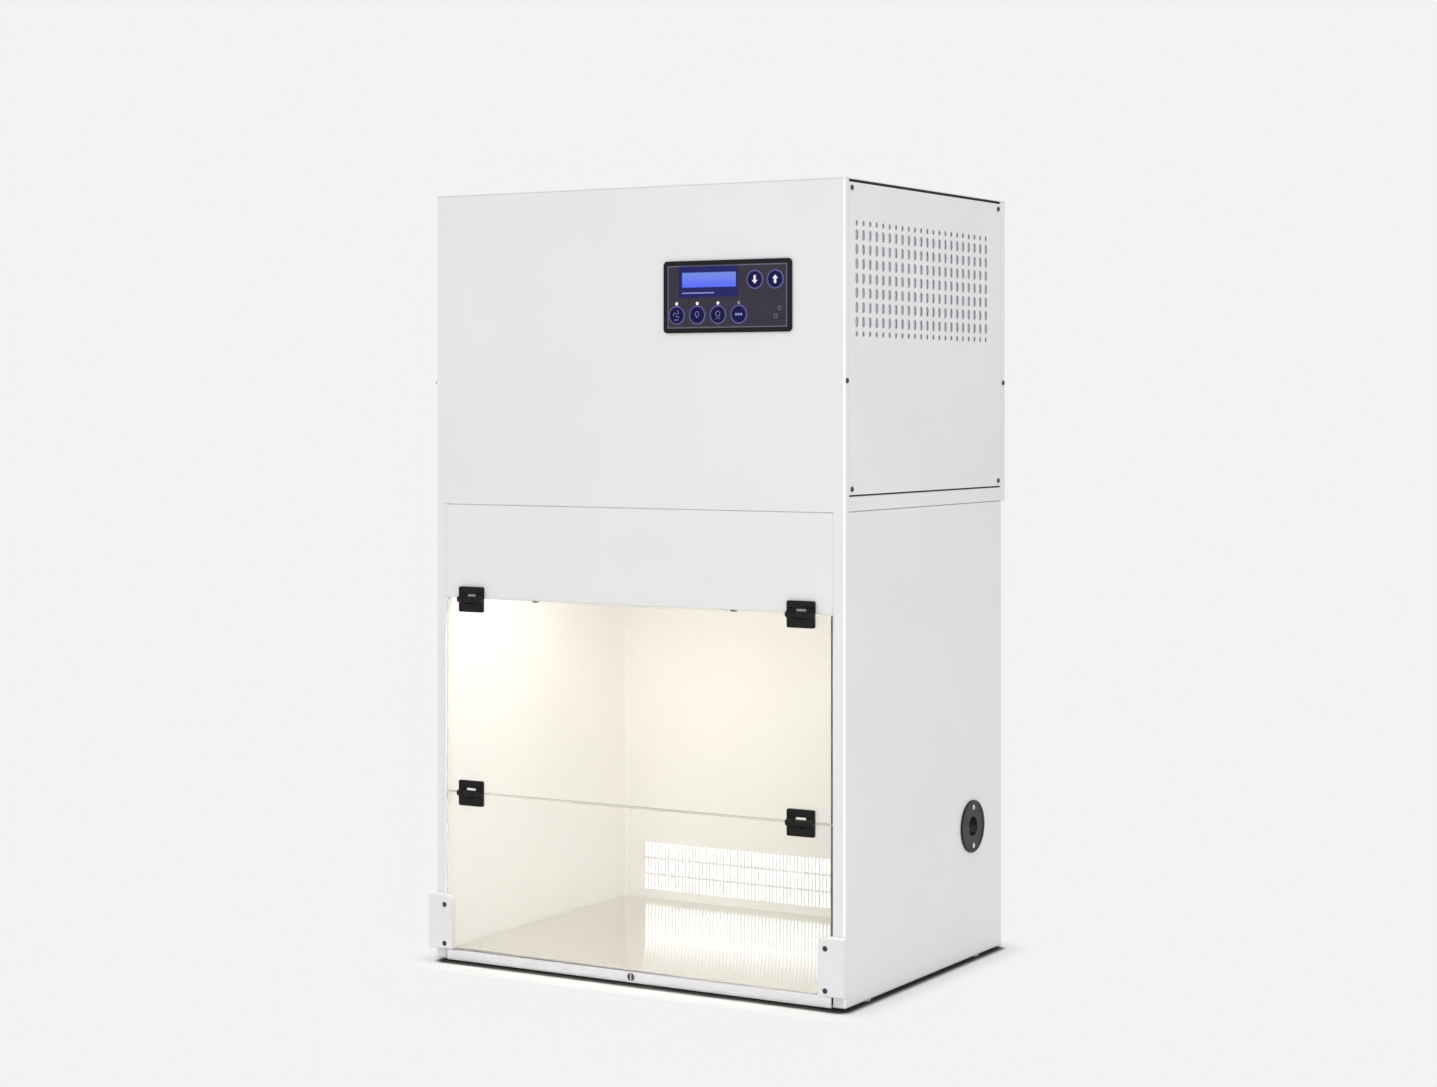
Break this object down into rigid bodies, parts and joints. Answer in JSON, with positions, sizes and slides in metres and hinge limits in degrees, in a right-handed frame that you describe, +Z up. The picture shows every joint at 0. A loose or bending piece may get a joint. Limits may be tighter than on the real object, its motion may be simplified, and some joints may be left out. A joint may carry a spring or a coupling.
{
  "type": "laminar flow hood",
  "caption": "Bench-top laminar flow hood: white sheet-metal chamber with a clear window that folds up on hinges, fan housing with perforated side and keypad above.",
  "frame": {"origin": "middle of the whole hood's footprint, on the bench under the feet", "axes": "+Z up; the window and keypad face -Y; the perforated panel and the cable port face +X"},
  "size_m": [0.71, 0.549, 1.156],
  "materials": {
    "white_enamel": "satin powder coat",
    "galvanised_sheet": "galvanised, dull",
    "brushed_stainless": "brushed across the width",
    "bright_metal": "polished",
    "dark_screw": "blackened",
    "foot_rubber": "matt, pale",
    "seal_rubber": "matt, black",
    "clear_pane": "clear, polished faces and edges",
    "hinge_black": "moulded, slight sheen",
    "grip_white": "smooth",
    "filter_cloth": "folded glass-fibre paper",
    "bare_aluminium": "mill finish",
    "keypad_film": "printed film",
    "light_lens": "frosted",
    "display_blue": "backlit behind a clear cover",
    "circuit_green": "lacquered board",
    "motor_dark": "black enamel",
    "plastic_black": "fine grain",
    "tube_glass": "white coating inside",
    "holder_white": "smooth",
    "key_navy": "printed film over a dome"
  },
  "bodies": {
    "cabinet": {"side_wall_left": "white_enamel", "side_wall_right": "white_enamel", "side_liner_left": "white_enamel", "side_liner_right": "white_enamel", "rear_wall": "white_enamel", "header_panel": "white_enamel", "front_cover": "white_enamel", "rear_cover": "white_enamel", "top_cover": "white_enamel", "side_panel_left": "white_enamel", "side_panel_right": "white_enamel", "ceiling_grille": "white_enamel", "deck_rails": "white_enamel", "base_plate": "galvanised_sheet", "corner_posts": "galvanised_sheet", "plenum_box": "galvanised_sheet", "motor_bridge": "galvanised_sheet", "sill_lock_clip": "galvanised_sheet", "worktop": "brushed_stainless", "front_sill": "brushed_stainless", "housing_screws": "bright_metal", "upper_hinge_pins": "bright_metal", "feet": "foot_rubber", "window_rubbers": "seal_rubber", "panel_gaskets": "seal_rubber", "upper_hinge_left_fixed": "hinge_black", "upper_hinge_right_fixed": "hinge_black", "pre_filter": "filter_cloth", "filter_pack": "filter_cloth", "filter_frame": "bare_aluminium", "power_supply": "bare_aluminium", "keypad_panel": "keypad_film", "status_lights": "light_lens", "display_module": "display_blue", "control_board": "circuit_green", "blower_motor": "motor_dark", "mains_inlet": "plastic_black", "cable_port": "plastic_black", "lamp_tubes": "tube_glass", "lamp_holders": "holder_white"},
    "upper_pane": {"upper_pane": "clear_pane", "upper_hinge_left_moving": "hinge_black", "upper_hinge_right_moving": "hinge_black", "middle_hinge_left_fixed": "hinge_black", "middle_hinge_right_fixed": "hinge_black", "middle_hinge_pins": "bright_metal"},
    "lower_pane": {"lower_pane": "clear_pane", "middle_hinge_left_moving": "hinge_black", "middle_hinge_right_moving": "hinge_black", "grip_left": "grip_white", "grip_right": "grip_white", "grip_screws": "dark_screw"},
    "sill_lock": {"sill_lock_stud": "bright_metal"},
    "blower_wheel": {"blower_wheel": "bare_aluminium"},
    "key_blower": {"key_blower": "key_navy"},
    "key_lamp": {"key_lamp": "key_navy"},
    "key_uv": {"key_uv": "key_navy"},
    "key_set": {"key_set": "key_navy"},
    "key_down": {"key_down": "key_navy"},
    "key_up": {"key_up": "key_navy"}
  },
  "joints": [
    {"name": "upper_pane_hinge", "type": "hinge", "parent": "cabinet", "child": "upper_pane", "pos_m": [0, -0.2676, 0.548], "axis": [-1, 0, 0], "range_deg": [0, 110]},
    {"name": "lower_pane_hinge", "type": "hinge", "parent": "upper_pane", "child": "lower_pane", "pos_m": [0, -0.2676, 0.257], "axis": [-1, 0, 0], "range_deg": [0, 175]},
    {"name": "sill_lock_turn", "type": "hinge", "parent": "cabinet", "child": "sill_lock", "pos_m": [0, -0.262, 0.0115], "axis": [0, -1, 0], "range_deg": [0, 90]},
    {"name": "blower_spin", "type": "hinge", "parent": "cabinet", "child": "blower_wheel", "pos_m": [0, -0.008, 0.866], "axis": [0, 0, 1], "continuous": true},
    {"name": "key_blower_press", "type": "slide", "parent": "cabinet", "child": "key_blower", "axis": [0, 1, 0], "range_m": [0, 0.0005], "stiffness_N_per_m": 400},
    {"name": "key_lamp_press", "type": "slide", "parent": "cabinet", "child": "key_lamp", "axis": [0, 1, 0], "range_m": [0, 0.0005], "stiffness_N_per_m": 400},
    {"name": "key_uv_press", "type": "slide", "parent": "cabinet", "child": "key_uv", "axis": [0, 1, 0], "range_m": [0, 0.0005], "stiffness_N_per_m": 400},
    {"name": "key_set_press", "type": "slide", "parent": "cabinet", "child": "key_set", "axis": [0, 1, 0], "range_m": [0, 0.0005], "stiffness_N_per_m": 400},
    {"name": "key_down_press", "type": "slide", "parent": "cabinet", "child": "key_down", "axis": [0, 1, 0], "range_m": [0, 0.0005], "stiffness_N_per_m": 400},
    {"name": "key_up_press", "type": "slide", "parent": "cabinet", "child": "key_up", "axis": [0, 1, 0], "range_m": [0, 0.0005], "stiffness_N_per_m": 400}
  ]
}
